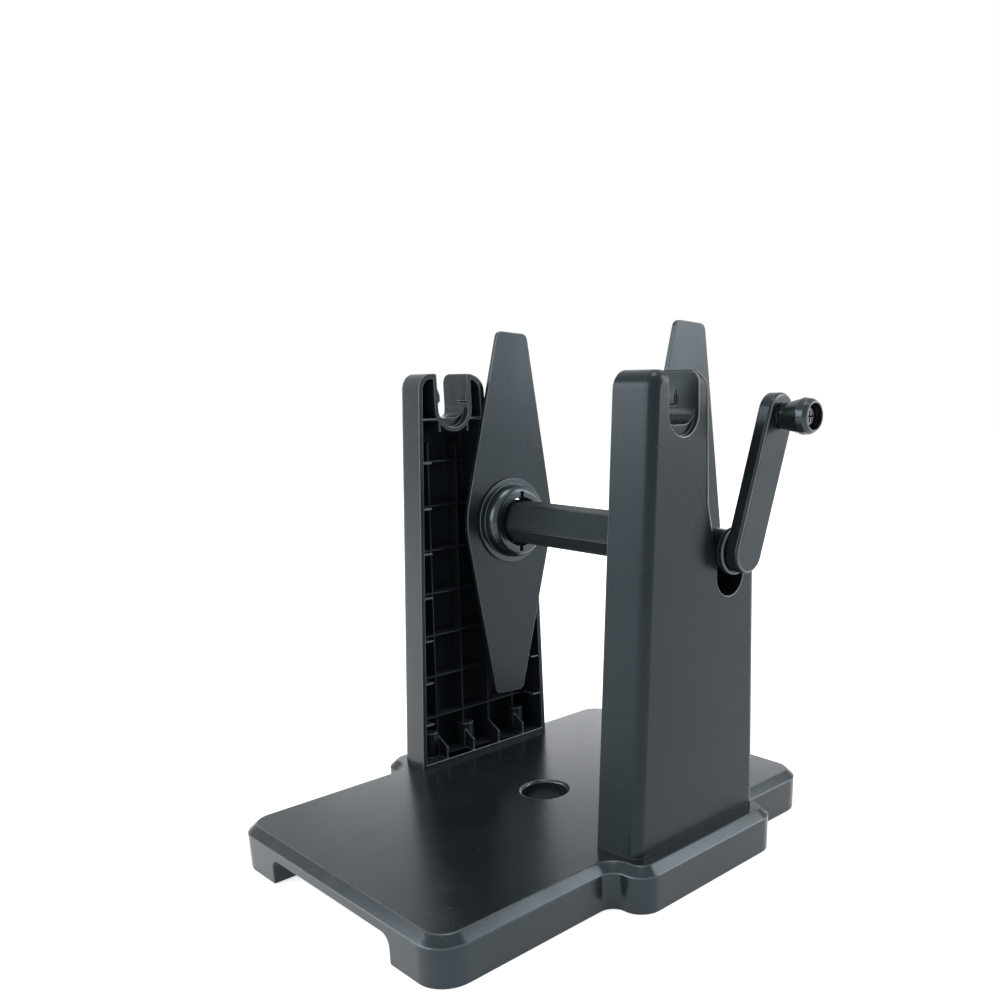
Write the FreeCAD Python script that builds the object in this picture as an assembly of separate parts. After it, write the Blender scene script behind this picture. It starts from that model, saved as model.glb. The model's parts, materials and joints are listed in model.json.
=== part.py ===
"""Manual label rewinder: ribbed uprights on a moulded base, a cranked hex spindle and two sliding flanges.

Units are millimetres. X runs along the spindle, with the crank on the +X side. Y runs from the front
edge of the base to its rear edge. Z points up. Shapes are drawn about the middle of
the base, and moved along X at the end, so that the origin lies on the bench under the middle of the
whole rewinder, crank included.
"""
import FreeCAD, Part
import math
import os
from FreeCAD import Vector

# ---- base moulding -------------------------------------------------------------------------------
base_length = 239.0        # front to rear, along Y
base_width = 159.9         # along X, away from the ears
ear_width = 195.9          # along X, over the two ears that carry the uprights
ear_front = -27.8          # Y of the ears' front walls
ear_rear = 68.9            # Y of the ears' rear walls
base_height = 21.5         # bench to top face
base_corner = 14.0         # corner radius of the four outer corners
ear_corner = 10.9          # convex corner radius of the ears
ear_front_blend = 7.0      # concave radius where an ear meets the side wall in front
ear_rear_blend = 1.0       # and behind
edge_inset = 4.3           # width of the bevel round the top face
edge_drop = 3.8            # height of that bevel
base_wall = 2.8            # side walls
base_skin = 2.8            # top skin
base_rib = 1.8             # ribs under the skin
base_rib_depth = 5.2       # how far the ribs hang below the skin
base_rib_x = (-45.0, 0.0, 45.0)
base_rib_y = (-85.0, -45.0, 45.0, 85.0)
arch_half_width = 47.0     # hand recess under the front and rear walls
arch_height = 13.0
arch_corner = 5.0
bench_hole_y = 5.0
bench_hole_radius = 11.6
bench_hole_wall = 2.4
bench_hole_bottom = 6.0    # height of the collar's lower edge
bench_hole_bevel = 1.0

# ---- non-slip pads -------------------------------------------------------------------------------
pad_radius = 6.5
pad_thickness = 2.0
pad_proud = 0.3            # how far a pad stands below the walls
pad_gap = 0.2              # side gap between a pad and its pocket
pad_x = 64.5
pad_y = 104.5
pad_boss_wall = 2.0

# ---- uprights ------------------------------------------------------------------------------------
upright_margin = 10.3      # outer face at the base to the ear's side wall
upright_depth = 22.1       # open, ribbed side to the outer face at the base
outer_draft = 0.009        # how far the outer face leans in, per mm of height
upright_top = 224.0        # Z of the top
front_foot = -22.8         # Y of the front edge at the base
front_lean = 0.066         # how far the front edge leans back, per mm of height
rear_foot = 64.1           # Y of the rear edge at the base
rear_lean = 0.023          # how far the rear edge leans forward, per mm of height
back_step = 3.2            # how far the upper part's rear edge steps forward above the shelf
back_step_low = 3.6        # heights above the shelf between which it does so
back_step_high = 16.0
back_step_round = 18.0     # radius of both bends of the step
back_lean = 0.024          # how far the rear edge leans forward above the step, per mm of height
top_front_corner = 8.0
top_rear_corner = 8.5
shelf_corner = 5.4
upright_fillet = 5.2       # edge radius round the outer face
upright_wall = 2.4
upright_skin = 2.4
cavity_bevel = 1.6         # inside those rounded edges

# ---- spindle slots -------------------------------------------------------------------------------
slot_radius = 9.15
upper_slot_depth = 25.85   # mouth to the bottom of the round
lower_slot_depth = 25.35
slot_mouth = 1.0           # radius of the rounded mouth edges
saddle_wall = 2.0
upper_slot_y = 10.3
lower_slot_y = 41.8
lower_slot_z = 137.4       # centre of the lower slot's round end
floor_drop = 4.4           # floor of the upper slot below the centre of the round end
floor_corner = 6.0         # concave radius between that floor and the slot's walls
floor_setback = 2.5        # the floor starts this far behind the outer face
floor_inner_setback = 4.0
detent_proud = 1.3
detent_low = 2.6           # heights above the centre of the round end
detent_crest_low = 3.6
detent_crest_high = 6.4
detent_high = 9.8
detent_length = 7.9        # along X, from the open side

# ---- ribs of the uprights ------------------------------------------------------------------------
rib_thickness = 1.1
rib_recess = 10.0          # ribs stop this far behind the open side
rim_setback = 0.5          # gussets, ledges and saddle ribs stop this far behind it
rib_rows = 7
rib_row_pitch = 22.65
rib_row_top = 181.3        # Z of the highest row
row_ledge = 5.2            # length of the ledges at both ends of a row, from the wall
rib_columns = 4
rib_column_pitch = 17.8
rib_column_first = -6.25   # Y of the foremost column's foot
rib_column_lean = 0.038    # how far the columns lean back, per mm of height
rib_column_top = 191.0
gusset_height = 9.0        # where the gussets start to step back, above the base
gusset_step = 4.7
saddle_rib_drop = 5.0      # level rib under the upper slot, below the centre of its round end
saddle_stub_length = 6.1   # short ribs that hang under that level rib
saddle_stub_offset = 8.6   # from the middle of the slot

# ---- screws that hold the uprights ---------------------------------------------------------------
screw_radius = 2.0
screw_hole_gap = 0.2
screw_pilot_gap = 0.05
screw_head_radius = 3.8
screw_head_height = 2.6
screw_head_gap = 0.4
screw_socket_radius = 1.5
screw_socket_depth = 1.4
screw_length = 22.0        # under the head
screw_floor = 9.5          # between the seat under a head and the base's top face
screw_boss_wall = 1.8
screw_boss_bottom = 6.0
screw_setback = 11.5       # behind the open side
screw_front_inset = 12.8   # from the uprights' front foot
screw_middle_y = 14.3
screw_rear_inset = 13.6    # from the uprights' rear foot
pilot_boss_radius = 4.6
pilot_boss_height = 16.0

# ---- spindle -------------------------------------------------------------------------------------
spindle_rise = 11.2        # the bushes ride on the detents, this far above the slots' round centre
bush_gap = 0.2             # clearance between a bush and its slot
bush_end_gap = 0.3         # clearance between a bush's flange and the upright
bush_inner_reach = 0.8     # how far a bush stands out of the upright's open side
bush_flange = 3.25         # thickness
bush_flange_radius = 10.5
bush_flange_edge = 0.5
rod_radius = 6.0
rod_gap = 0.05             # running clearance in the bushes
sleeve_corner_radius = 12.9    # hexagon, centre to corner before rounding
sleeve_rounding = 2.0
sleeve_end_gap = 0.3
sleeve_bore_gap = 0.02
spindle_turn = 3.5         # degrees that the spindle is turned at rest, top towards +Y
end_gap = 0.1              # between a bush and the collar or the crank
collar_radius = 9.4
collar_length = 8.0
grub_radius = 1.5
grub_gap = 0.05
pin_radius = 1.5
pin_gap = 0.05
pin_length = 18.0
pin_inset = 30.0           # cross pin, from the sleeve's left end
rod_flat = 4.6             # half thickness of the rod at its flat

# ---- flanges -------------------------------------------------------------------------------------
flange_left_gap = 1.05     # between a plate at rest and the open side of its upright
flange_right_gap = 7.8
flange_thickness = 2.5
flange_half_length = 95.8
flange_half_width = 30.35  # at the middle, before rounding
flange_tip_half_width = 9.5
flange_waist_radius = 45.0
flange_tip_radius = 3.5
flange_bore_gap = 0.3      # round the spindle's sleeve
hub_ring_radius = 22.3
hub_ring_thickness = 1.5
hub_radius = 19.3
hub_height = 8.75          # from the plate's face
hub_edge = 3.5             # rounded outer edge of the hub
hub_wall = 2.2
hub_mouth_radius = 12.8
key_width = 2.1
key_depth = 3.5
grip_width = 3.0
grip_bore_radius = 12.65
grip_radius = 14.2
hub_screw_count = 3
hub_screw_circle = 16.6
hub_screw_radius = 1.1
hub_screw_gap = 0.05
hub_screw_head_radius = 2.1
hub_screw_head_height = 1.1    # countersunk
hub_screw_length = 6.0     # from the back of the plate
hub_boss_radius = 2.3

# ---- crank ---------------------------------------------------------------------------------------
arm_thickness = 6.9
arm_half_width = 9.1
arm_edge = 1.7             # edge radius round the outer face
arm_back_edge = 1.2        # and round the face towards the upright
arm_lean = 19.5            # degrees from upright at rest, towards +Y
knob_reach = 59.8          # spindle axis to knob axis
arm_tip_offset = 0.6       # middle of the arm's round tip, beyond the knob axis
rod_socket_depth = 4.4
pivot_radius = 2.3         # shoulder screw that carries the knob
pivot_gap = 0.08
pivot_thread_gap = 0.03
pivot_head_radius = 4.2
pivot_head_height = 2.2
pivot_head_edge = 0.8
pivot_cross_width = 0.9
pivot_cross_depth = 1.1
knob_washer_radius = 4.6
knob_washer_thickness = 0.5
knob_gap = 0.15
knob_neck_radius = 5.5
knob_waist_radius = 5.8
knob_crest_radius = 7.8
knob_shoulder_radius = 7.3
knob_end_radius = 6.0
knob_length = 15.85
knob_neck_length = 2.6     # arm end of the knob to the waist, where it starts to swell
knob_crest_length = 11.0   # arm end to the crest
knob_shoulder_length = 13.9
knob_recess_radius = 5.2
knob_recess_depth = 5.2

# ---- sizes worked out from the ones above --------------------------------------------------------
ear_reach = (ear_width - base_width) / 2
ear_corner_fit = min(ear_corner, 0.61 * ear_reach)
ear_blend_fit = min(ear_front_blend, 0.39 * ear_reach)
upright_outer = ear_width / 2 - upright_margin
upright_inner = upright_outer - upright_depth
flange_left_x = flange_thickness / 2 + flange_left_gap - upright_inner
flange_right_x = upright_inner - flange_right_gap - flange_thickness / 2
screw_x = upright_inner + screw_setback
screw_columns = (front_foot + screw_front_inset, screw_middle_y, rear_foot - screw_rear_inset)
screw_seat = base_height - screw_floor
base_rib_bottom = base_height - base_skin - base_rib_depth
upper_slot_z = upright_top - upper_slot_depth + slot_radius
shelf_z = lower_slot_z - slot_radius + lower_slot_depth
axis_y = lower_slot_y
axis_z = lower_slot_z + spindle_rise
bush_radius = slot_radius - bush_gap
spindle_start = Vector(0, axis_y, axis_z)
along_x = Vector(1, 0, 0)
along_y = Vector(0, 1, 0)
along_z = Vector(0, 0, 1)


def outer_face_x(z):
    """X of an upright's drafted outer face at height z."""
    return upright_outer - outer_draft * (z - base_height)


bush_inner_x = upright_inner - bush_inner_reach
bush_seat_x = outer_face_x(axis_z - bush_flange_radius) + bush_end_gap
bush_outer_x = bush_seat_x + bush_flange
sleeve_half_length = bush_inner_x - sleeve_end_gap
arm_x = bush_outer_x + end_gap
collar_x = bush_outer_x + end_gap
knob_start_x = arm_x + arm_thickness + knob_washer_thickness + knob_gap
arm_direction = Vector(0, math.sin(math.radians(arm_lean)), math.cos(math.radians(arm_lean)))
knob_centre = spindle_start + arm_direction * knob_reach
knob_end_x = knob_start_x + knob_length
frame_shift = Vector((ear_width / 2 - knob_end_x) / 2, 0, 0)


# ---- geometry helpers ----------------------------------------------------------------------------
def on_xy(u, v, level):
    return Vector(u, v, level)


def on_yz(u, v, level):
    return Vector(level, u, v)


def on_xz(u, v, level):
    return Vector(u, level, v)


def rounded_wire(corners, place, level):
    """Closed wire through corners given as (u, v, radius), with an arc at each corner."""
    edges = []
    starts = []
    ends = []
    middles = []
    count = len(corners)
    for index, (u, v, radius) in enumerate(corners):
        corner = Vector(u, v, 0)
        before = Vector(corners[index - 1][0], corners[index - 1][1], 0) - corner
        after_corner = corners[(index + 1) % count]
        after = Vector(after_corner[0], after_corner[1], 0) - corner
        before.normalize()
        after.normalize()
        half_angle = before.getAngle(after) / 2
        reach = radius / math.tan(half_angle)
        bisector = before + after
        bisector.normalize()
        starts.append(corner + before * reach)
        ends.append(corner + after * reach)
        middles.append(corner + bisector * (radius / math.sin(half_angle) - radius))
    for index, (u, v, radius) in enumerate(corners):
        first, middle, last = starts[index], middles[index], ends[index]
        following = starts[(index + 1) % count]
        if radius > 0:
            arc = Part.Arc(place(first.x, first.y, level), place(middle.x, middle.y, level),
                           place(last.x, last.y, level))
            edges.append(arc.toShape())
        if (following - last).Length > 0.001:
            side = Part.LineSegment(place(last.x, last.y, level), place(following.x, following.y, level))
            edges.append(side.toShape())
    return Part.Wire(edges)


def prism(corners, place, low, high):
    """Solid between two levels with a rounded outline."""
    start = rounded_wire(corners, place, low)
    travel = place(0, 0, high) - place(0, 0, low)
    return Part.Face(start).extrude(travel)


def box(low, high):
    """Box between two opposite corners."""
    size = high - low
    return Part.makeBox(size.x, size.y, size.z, low)


def rod_along_x(radius, low, high, y, z):
    return Part.makeCylinder(radius, high - low, Vector(low, y, z), along_x)


def round_edges(shape):
    """Edges that lie in a plane square to X."""
    return [edge for edge in shape.Edges if edge.BoundBox.XLength < 0.01]


def spindle_disc(radius, low, high):
    return rod_along_x(radius, low, high, axis_y, axis_z)


def spindle_ring(outer, inner, low, high):
    return spindle_disc(outer, low, high).cut(spindle_disc(inner, low, high))


def turned(shape, degrees):
    """Copy of a shape turned about the spindle; a positive angle moves the top towards +Y."""
    copy = shape.copy()
    copy.rotate(spindle_start, along_x, -degrees)
    return copy


def mirrored(shape):
    return shape.mirror(Vector(0, 0, 0), along_x)


def revolved(profile, centre):
    """Solid of revolution about a line along X through centre, from (x, radius) corners."""
    points = [Vector(x, centre.y, centre.z + radius) for x, radius in profile]
    outline = Part.makePolygon(points + points[:1])
    return Part.Face(outline).revolve(centre, along_x, 360)


def clean(shape):
    """Merge coplanar faces, and give a solid back where the result holds only one."""
    joined = shape.removeSplitter()
    return joined.Solids[0] if len(joined.Solids) == 1 else joined


# ---- base ----------------------------------------------------------------------------------------
def base_corners(inset):
    """Outline of the base with its two ears, moved inwards by inset."""
    half = base_width / 2 - inset
    ear = ear_width / 2 - inset
    end = base_length / 2 - inset
    front = ear_front + inset
    rear = ear_rear - inset
    outer = base_corner - inset
    convex = ear_corner_fit - inset
    right = [(half, -end, outer), (half, front, ear_blend_fit + inset), (ear, front, convex),
             (ear, rear, convex), (half, rear, ear_rear_blend + inset), (half, end, outer)]
    left = [(-x, y, radius) for x, y, radius in reversed(right)]
    return right + left


def base_body():
    """Walls, bevelled top edge and skin, open underneath."""
    bevel_start = base_height - edge_drop
    walls = prism(base_corners(0), on_xy, pad_proud, bevel_start)
    lower = rounded_wire(base_corners(0), on_xy, bevel_start)
    upper = rounded_wire(base_corners(edge_inset), on_xy, base_height)
    bevel = Part.makeLoft([lower, upper], True, True)
    return walls.fuse(bevel).cut(base_hollow(0))


def base_hollow(bottom):
    return prism(base_corners(base_wall), on_xy, bottom, base_height - base_skin)


def base_ribs():
    """Crossing ribs under the skin, trimmed to the hollow."""
    half = ear_width / 2
    end = base_length / 2
    ribs = []
    for x in base_rib_x:
        ribs.append(box(Vector(x - base_rib / 2, -end, base_rib_bottom),
                        Vector(x + base_rib / 2, end, base_height)))
    for y in base_rib_y:
        ribs.append(box(Vector(-half, y - base_rib / 2, base_rib_bottom),
                        Vector(half, y + base_rib / 2, base_height)))
    inside = prism(base_corners(base_wall), on_xy, base_rib_bottom, base_height - base_skin / 2)
    return ribs[0].multiFuse(ribs[1:]).common(inside)


def pad_places():
    return [Vector(x, y, 0) for x in (-pad_x, pad_x) for y in (-pad_y, pad_y)]


def upright_screw_places(side):
    return [Vector(side * screw_x, y, 0) for y in screw_columns]


def base_bosses():
    """Posts over the pads and round the upright screws, and the collar of the bench hole."""
    roof = base_height - base_skin / 2
    posts = []
    for place in pad_places():
        posts.append(Part.makeCylinder(pad_radius + pad_gap + pad_boss_wall, roof - pad_proud,
                                       place + along_z * pad_proud))
    for place in upright_screw_places(-1) + upright_screw_places(1):
        posts.append(Part.makeCylinder(screw_head_radius + screw_head_gap + screw_boss_wall,
                                       roof - screw_boss_bottom, place + along_z * screw_boss_bottom))
    posts.append(Part.makeCylinder(bench_hole_radius + bench_hole_wall, roof - bench_hole_bottom,
                                   Vector(0, bench_hole_y, bench_hole_bottom)))
    return posts


def recess_walls():
    """Side walls of the hand recesses, from the front and rear walls in to the nearest cross rib."""
    wall_inside = base_length / 2 - base_wall
    roof = base_height - base_skin / 2
    spans = [(-wall_inside, base_rib_y[0] - base_rib / 2), (base_rib_y[-1] + base_rib / 2, wall_inside)]
    walls = []
    for x in (-arch_half_width - base_wall, arch_half_width):
        for front, rear in spans:
            walls.append(box(Vector(x, front, pad_proud), Vector(x + base_wall, rear, roof)))
    return walls


def base_cuts():
    """Pad pockets, screw holes, bench hole and the two hand recesses."""
    cuts = []
    for place in pad_places():
        cuts.append(Part.makeCylinder(pad_radius + pad_gap, pad_thickness, place))
    for place in upright_screw_places(-1) + upright_screw_places(1):
        cuts.append(Part.makeCylinder(screw_radius + screw_hole_gap, base_height, place))
        cuts.append(Part.makeCylinder(screw_head_radius + screw_head_gap, screw_seat, place))
    hole_foot = Vector(0, bench_hole_y, 0)
    cuts.append(Part.makeCylinder(bench_hole_radius, 2 * base_height, hole_foot))
    cuts.append(Part.makeCone(bench_hole_radius, bench_hole_radius + 2 * bench_hole_bevel,
                              2 * bench_hole_bevel, hole_foot + along_z * (base_height - bench_hole_bevel)))
    arch = [(-arch_half_width, -arch_height, 0), (arch_half_width, -arch_height, 0),
            (arch_half_width, arch_height, arch_corner), (-arch_half_width, arch_height, arch_corner)]
    cuts.append(prism(arch, on_xz, -base_length, base_length).cut(
        box(Vector(-base_width, -base_length / 2 + base_wall, -base_height),
            Vector(base_width, base_length / 2 - base_wall, base_height))))
    return cuts


def base_plate():
    shell = base_body().multiFuse([base_ribs()] + base_bosses() + recess_walls())
    return clean(shell.cut(base_cuts()))


def base_pads():
    return Part.makeCompound([Part.makeCylinder(pad_radius, pad_thickness, place)
                              for place in pad_places()])


# ---- uprights ------------------------------------------------------------------------------------
def front_edge_y(z):
    return front_foot + front_lean * (z - base_height)


def rear_edge_y(z):
    """Rear edge below the shelf."""
    return rear_foot - rear_lean * (z - base_height)


def upright_corners():
    """Side view of an upright before its slots are cut, as (y, z, radius)."""
    shelf_rear = rear_edge_y(shelf_z)
    slot_front = lower_slot_y - slot_radius
    step_z = shelf_z + back_step_high
    back = slot_front - back_step
    back_top = back - back_lean * (upright_top - step_z)
    return [(front_foot, base_height, 0), (rear_foot, base_height, 0),
            (shelf_rear, shelf_z, shelf_corner), (slot_front, shelf_z, 1),
            (slot_front, shelf_z + back_step_low, back_step_round), (back, step_z, back_step_round),
            (back_top, upright_top, top_rear_corner),
            (front_edge_y(upright_top), upright_top, top_front_corner)]


def outside(offset):
    """Everything beyond an upright's outer face moved inwards by offset."""
    low_z, high_z = 0.0, upright_top + base_height
    far = upright_outer + ear_width
    corners = [(outer_face_x(low_z) - offset, low_z, 0), (far, low_z, 0), (far, high_z, 0),
               (outer_face_x(high_z) - offset, high_z, 0)]
    return prism(corners, on_xz, -base_length, base_length)


def outer_face_edges(block, offset):
    """Edges round the outer face moved inwards by offset, apart from the one along the bottom."""
    edges = []
    for edge in block.Edges:
        points = [edge.valueAt(edge.FirstParameter), edge.valueAt(edge.LastParameter)]
        on_face = all(abs(p.x + offset - outer_face_x(p.z)) < 0.01 for p in points)
        along_bottom = abs(points[0].z - points[1].z) < 0.01 and points[0].z < shelf_z / 2
        if on_face and not along_bottom:
            edges.append(edge)
    return edges


def upright_block():
    wide = prism(upright_corners(), on_yz, upright_inner, upright_outer + 1)
    block = wide.cut(outside(0))
    return block.makeFillet(upright_fillet, outer_face_edges(block, 0))


def upright_cavity():
    """The hollow of an upright, open towards the spindle side."""
    outline = rounded_wire(upright_corners(), on_yz, upright_inner - 1).makeOffset2D(-upright_wall)
    wide = Part.Face(outline).extrude(along_x * (upright_outer - upright_inner + 2))
    hollow = wide.cut(outside(upright_skin))
    return hollow.makeChamfer(cavity_bevel, outer_face_edges(hollow, upright_skin))


def behind_open_side(setback):
    """Everything beyond a plane set back from the open side."""
    return box(Vector(upright_inner + setback, -base_length, 0),
               Vector(2 * upright_outer, base_length, upright_top + base_height))


def level_rib(z):
    return box(Vector(upright_inner, -base_length / 2, z - rib_thickness / 2),
               Vector(upright_outer, base_length / 2, z + rib_thickness / 2))


def rib_rows_shape():
    """Level ribs deep in the cavity, with a ledge up to the open side at each end."""
    rows = [level_rib(rib_row_top - rib_row_pitch * row) for row in range(rib_rows)]
    margin = upright_wall + row_ledge
    low, high = 0, upright_top
    middle = [(front_edge_y(low) + margin, low, 0), (rear_edge_y(low) - margin, low, 0),
              (rear_edge_y(high) - margin, high, 0), (front_edge_y(high) + margin, high, 0)]
    between_ledges = prism(middle, on_yz, upright_inner, upright_inner + rib_recess)
    return rows[0].multiFuse(rows[1:]).common(behind_open_side(rim_setback)).cut(between_ledges)


def rib_columns_shape():
    """Standing ribs that lean with the front wall and step out to gussets near the foot."""
    columns = []
    lean = rib_column_lean * (rib_column_top - base_height)
    for column in range(rib_columns):
        front = rib_column_first + rib_column_pitch * column - rib_thickness / 2
        rear = front + rib_thickness
        corners = [(front, base_height, 0), (rear, base_height, 0),
                   (rear + lean, rib_column_top, 0), (front + lean, rib_column_top, 0)]
        columns.append(prism(corners, on_yz, upright_inner, upright_outer))
    near, deep, far = upright_inner + rim_setback, upright_inner + rib_recess, upright_outer
    turn = base_height + gusset_height
    side = [(near, base_height, 0), (far, base_height, 0), (far, rib_column_top, 0),
            (deep, rib_column_top, 0), (deep, turn + gusset_step, 0), (near, turn, 0)]
    return columns[0].multiFuse(columns[1:]).common(prism(side, on_xz, -base_length, base_length))


def saddle_ribs():
    """Level rib under the upper slot, and two short ribs that hang from it under the saddle."""
    z = upper_slot_z - saddle_rib_drop
    ribs = [level_rib(z)]
    for side in (-1, 1):
        front = upper_slot_y + side * saddle_stub_offset - rib_thickness / 2
        ribs.append(box(Vector(upright_inner, front, z - saddle_stub_length),
                        Vector(upright_outer, front + rib_thickness, z)))
    return ribs[0].multiFuse(ribs[1:]).common(behind_open_side(rim_setback))


def slot_corners(y, z, mouth, widening, front_round, rear_round):
    """U-shaped outline, open upwards, as (y, z, radius); the flares round the mouth's edges."""
    half = slot_radius + widening
    above = mouth + upper_slot_depth
    bottom = z - half
    corners = [(y - half, bottom, half), (y + half, bottom, half)]
    if rear_round:
        corners += [(y + half, mouth, rear_round), (y + half + rear_round, mouth, 0),
                    (y + half + rear_round, above, 0)]
    else:
        corners.append((y + half, above, 0))
    if front_round:
        corners += [(y - half - front_round, above, 0), (y - half - front_round, mouth, 0),
                    (y - half, mouth, front_round)]
    else:
        corners.append((y - half, above, 0))
    return corners


def slot_prism(y, z, mouth, widening, front_round, rear_round, low, high):
    return prism(slot_corners(y, z, mouth, widening, front_round, rear_round), on_yz, low, high)


def slot_detents(y, z):
    """Two ridges that a bush snaps past, one on each wall of a slot."""
    ridges = []
    for side in (-1, 1):
        wall = y + side * (slot_radius + saddle_wall / 2)
        foot = y + side * slot_radius
        tip = y + side * (slot_radius - detent_proud)
        corners = [(wall, z + detent_low, 0), (foot, z + detent_low, 0),
                   (tip, z + detent_crest_low, 0), (tip, z + detent_crest_high, 0),
                   (foot, z + detent_high, 0), (wall, z + detent_high, 0)]
        ridges.append(prism(corners, on_yz, upright_inner, upright_inner + detent_length))
    return ridges


def upper_slot_floor():
    """Floor across the round end of the upper slot, set back from both faces."""
    y, z = upper_slot_y, upper_slot_z
    low_x = upright_inner + floor_inner_setback
    high_x = outer_face_x(z) - floor_setback
    front, rear, above = y - slot_radius, y + slot_radius, z + 2 * slot_radius
    trough = [(front, z - floor_drop, floor_corner), (rear, z - floor_drop, floor_corner),
              (rear, above, 0), (front, above, 0)]
    round_end = rod_along_x(slot_radius + saddle_wall / 2, low_x, high_x, y, z)
    walls = box(Vector(low_x, front, z - 2 * slot_radius), Vector(high_x, rear, z + floor_corner - floor_drop))
    return round_end.common(walls).cut(prism(trough, on_yz, low_x, high_x))


def pilot_bosses():
    """Posts inside the foot of an upright that take its screws."""
    return [Part.makeCylinder(pilot_boss_radius, pilot_boss_height, place + along_z * base_height)
            for place in upright_screw_places(1)]


def upright():
    """Right upright; the left one is its mirror image."""
    block = upright_block()
    cavity = upright_cavity()
    stiffeners = rib_rows_shape().multiFuse([rib_columns_shape(), saddle_ribs()] + pilot_bosses())
    slots = ((upper_slot_y, upper_slot_z, upright_top, slot_mouth),
             (lower_slot_y, lower_slot_z, shelf_z, 0))
    low_x, high_x = upright_inner - 1, upright_outer + 1
    hollow = cavity.cut(stiffeners)
    for y, z, mouth, front_round in slots:
        hollow = hollow.cut(slot_prism(y, z, mouth, saddle_wall, 0, 0, low_x, high_x))
    shape = block.cut(hollow)
    for y, z, mouth, front_round in slots:
        shape = shape.cut(slot_prism(y, z, mouth, 0, front_round, slot_mouth, low_x, high_x))
    shape = shape.multiFuse(slot_detents(upper_slot_y, upper_slot_z)
                            + slot_detents(lower_slot_y, lower_slot_z) + [upper_slot_floor()])
    pilots = [Part.makeCylinder(screw_radius + screw_pilot_gap, pilot_boss_height - upright_wall,
                                place + along_z * base_height) for place in upright_screw_places(1)]
    return clean(shape.cut(pilots))


# ---- screws --------------------------------------------------------------------------------------
def upright_screw(place):
    """Pan-head screw driven up from under the base, with a hexagon socket."""
    head = Part.makeCylinder(screw_head_radius, screw_head_height,
                             place + along_z * (screw_seat - screw_head_height))
    shank = Part.makeCylinder(screw_radius, screw_length, place + along_z * screw_seat)
    socket_points = []
    for corner in range(7):
        angle = math.radians(60 * corner)
        socket_points.append(place + Vector(screw_socket_radius * math.cos(angle),
                                            screw_socket_radius * math.sin(angle),
                                            screw_seat - screw_head_height))
    socket = Part.Face(Part.makePolygon(socket_points)).extrude(along_z * screw_socket_depth)
    return head.fuse(shank).cut(socket)


def upright_screws(side):
    return Part.makeCompound([upright_screw(place) for place in upright_screw_places(side)])


# ---- spindle -------------------------------------------------------------------------------------
def bearing_bush():
    """Right bush: a round body for the slot with a flange outside the upright."""
    body = spindle_disc(bush_radius, bush_inner_x, bush_outer_x)
    flange = spindle_disc(bush_flange_radius, bush_seat_x, bush_outer_x)
    flange = flange.makeChamfer(bush_flange_edge, round_edges(flange))
    bore = spindle_disc(rod_radius + rod_gap, bush_inner_x, bush_outer_x)
    return clean(body.fuse(flange).cut(bore))


def hexagon_corners(growth):
    """Hexagon with a flat top round the spindle axis, as (y, z, radius), grown by growth."""
    circle = sleeve_corner_radius + growth / math.cos(math.radians(30))
    corners = []
    for corner in range(6):
        angle = math.radians(60 * corner)
        corners.append((axis_y + circle * math.cos(angle), axis_z + circle * math.sin(angle),
                        sleeve_rounding))
    return corners


def hexagon_prism(growth, low, high):
    return turned(prism(hexagon_corners(growth), on_yz, low, high), spindle_turn)


def cross_pin(gap, extra):
    """Pin through the sleeve and the rod, square to the spindle."""
    x = -sleeve_half_length + pin_inset
    length = pin_length + extra
    pin = Part.makeCylinder(pin_radius + gap, length, Vector(x, axis_y, axis_z - length / 2))
    return turned(pin, spindle_turn)


def hex_sleeve():
    """Moulded sleeve that carries the flanges, with rounded corners."""
    bar = hexagon_prism(0, -sleeve_half_length, sleeve_half_length)
    bore = spindle_disc(rod_radius + sleeve_bore_gap, -sleeve_half_length, sleeve_half_length)
    return clean(bar.cut([bore, cross_pin(pin_gap, sleeve_corner_radius)]))


def core_rod():
    """Steel rod through the sleeve, the bushes, the collar and the crank, flat at both ends."""
    left_end = -(collar_x + collar_length)
    right_end = arm_x + rod_socket_depth
    rod = spindle_disc(rod_radius, left_end, right_end)
    keep = box(Vector(left_end, axis_y - rod_radius, axis_z - rod_radius),
               Vector(right_end, axis_y + rod_radius, axis_z + rod_flat))
    middle = box(Vector(-collar_x, axis_y - rod_radius, axis_z - rod_radius),
                 Vector(arm_x, axis_y + rod_radius, axis_z + rod_radius))
    return clean(turned(rod.common(keep.fuse(middle)), spindle_turn).cut(cross_pin(pin_gap, 0)))


def grub_screw(x, gap):
    """Grub screw from the rod's flat outwards, turned with the spindle."""
    low = rod_flat + grub_gap
    height = collar_radius - 1 - low
    screw = Part.makeCylinder(grub_radius + gap, height, Vector(x, axis_y, axis_z + low))
    return turned(screw, spindle_turn)


def grub_place():
    return -(collar_x + collar_length / 2)


def end_collar():
    """Collar that locks the rod at the far end, with its grub screw hole."""
    low, high = -(collar_x + collar_length), -collar_x
    collar = spindle_ring(collar_radius, rod_radius + sleeve_bore_gap, low, high)
    hole = Part.makeCylinder(grub_radius + grub_gap, 2 * collar_radius,
                             Vector(grub_place(), axis_y, axis_z))
    return clean(collar.cut(turned(hole, spindle_turn)))


# ---- flanges -------------------------------------------------------------------------------------
def flange_corners():
    """Long diamond with cut-off tips, as (y, z, radius)."""
    tip, waist, end = flange_tip_half_width, flange_half_width, flange_half_length
    relative = [(waist, 0, flange_waist_radius), (tip, end, flange_tip_radius),
                (-tip, end, flange_tip_radius), (-waist, 0, flange_waist_radius),
                (-tip, -end, flange_tip_radius), (tip, -end, flange_tip_radius)]
    return [(axis_y + y, axis_z + z, radius) for y, z, radius in relative]


def hub_screw_angles():
    return [360 / hub_screw_count * number for number in range(hub_screw_count)]


def around_hub(shape):
    """Copies of a shape at each hub screw, turned with the spindle."""
    return [turned(shape, spindle_turn + angle) for angle in hub_screw_angles()]


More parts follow.
